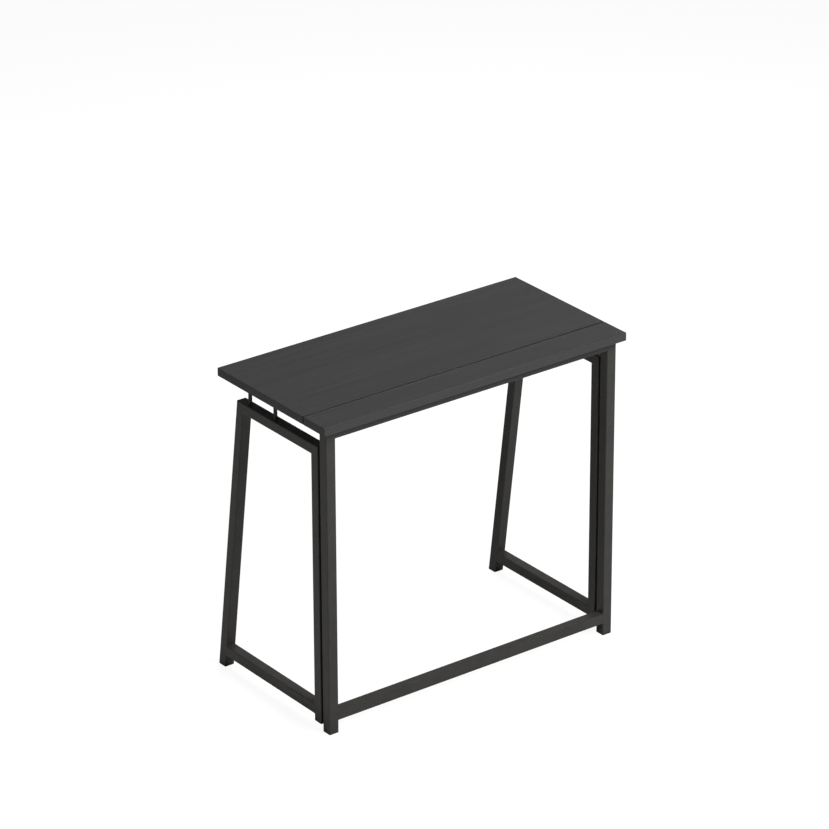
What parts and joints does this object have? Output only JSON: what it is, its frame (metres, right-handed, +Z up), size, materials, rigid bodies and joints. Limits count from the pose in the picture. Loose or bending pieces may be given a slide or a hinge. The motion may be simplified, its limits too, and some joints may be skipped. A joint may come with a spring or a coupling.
{
  "type": "folding desk",
  "caption": "Slim folding desk with a split plank top on a rear tube frame and slant-legged side frames that hinge inward to fold flat.",
  "frame": {"origin": "on the floor, under the middle of the desk's outer box", "axes": "+X along the width, to the right of the person at the desk; +Y from that person towards the rear frame; +Z up"},
  "size_m": [0.8, 0.427, 0.727],
  "materials": {
    "top": "black wood-grain laminate on board, satin",
    "frame": "black powder coat on steel tube, fine grain",
    "cap": "black moulded plastic, matte",
    "hardware": "zinc-plated steel"
  },
  "bodies": {
    "rear_frame": {"rear_leg_left": "frame", "rear_leg_right": "frame", "rear_top_rail": "frame", "rear_bottom_rail": "frame", "rear_leg_cap_left": "cap", "rear_leg_cap_right": "cap", "rear_plank": "top", "frame_hinge_left_lower_leg_leaf": "frame", "frame_hinge_left_lower_pin": "hardware", "frame_hinge_left_upper_leg_leaf": "frame", "frame_hinge_left_upper_pin": "hardware", "frame_hinge_right_lower_leg_leaf": "frame", "frame_hinge_right_lower_pin": "hardware", "frame_hinge_right_upper_leg_leaf": "frame", "frame_hinge_right_upper_pin": "hardware", "seam_hinge_left_rear_leaf": "hardware", "seam_hinge_left_pin": "hardware", "seam_hinge_middle_rear_leaf": "hardware", "seam_hinge_middle_pin": "hardware", "seam_hinge_right_rear_leaf": "hardware", "seam_hinge_right_pin": "hardware", "plank_screw_1": "hardware", "plank_screw_2": "hardware", "plank_screw_3": "hardware", "plank_screw_4": "hardware"},
    "front_top": {"front_plank": "top", "seam_hinge_left_front_leaf": "hardware", "seam_hinge_middle_front_leaf": "hardware", "seam_hinge_right_front_leaf": "hardware"},
    "left_side_frame": {"hinge_tube_left": "frame", "hinge_tube_cap_left": "cap", "side_top_rail_left": "frame", "slanted_leg_left": "frame", "slanted_leg_cap_left": "cap", "side_bottom_rail_left": "frame", "support_post_left_front": "frame", "support_post_left_rear": "frame", "frame_hinge_left_lower_tube_leaf": "frame", "frame_hinge_left_upper_tube_leaf": "frame"},
    "right_side_frame": {"hinge_tube_right": "frame", "hinge_tube_cap_right": "cap", "side_top_rail_right": "frame", "slanted_leg_right": "frame", "slanted_leg_cap_right": "cap", "side_bottom_rail_right": "frame", "support_post_right_front": "frame", "support_post_right_rear": "frame", "frame_hinge_right_lower_tube_leaf": "frame", "frame_hinge_right_upper_tube_leaf": "frame"}
  },
  "joints": [
    {"name": "left_frame_fold", "type": "hinge", "parent": "rear_frame", "child": "left_side_frame", "pos_m": [-0.3635, 0.17025, 0], "axis": [0, 0, 1], "range_deg": [0, 90]},
    {"name": "right_frame_fold", "type": "hinge", "parent": "rear_frame", "child": "right_side_frame", "pos_m": [0.3635, 0.17025, 0], "axis": [0, 0, -1], "range_deg": [0, 85]},
    {"name": "top_lift", "type": "hinge", "parent": "rear_frame", "child": "front_top", "pos_m": [0, 0.1385, 0.7047], "axis": [-1, 0, 0], "range_deg": [0, 4.5]}
  ]
}
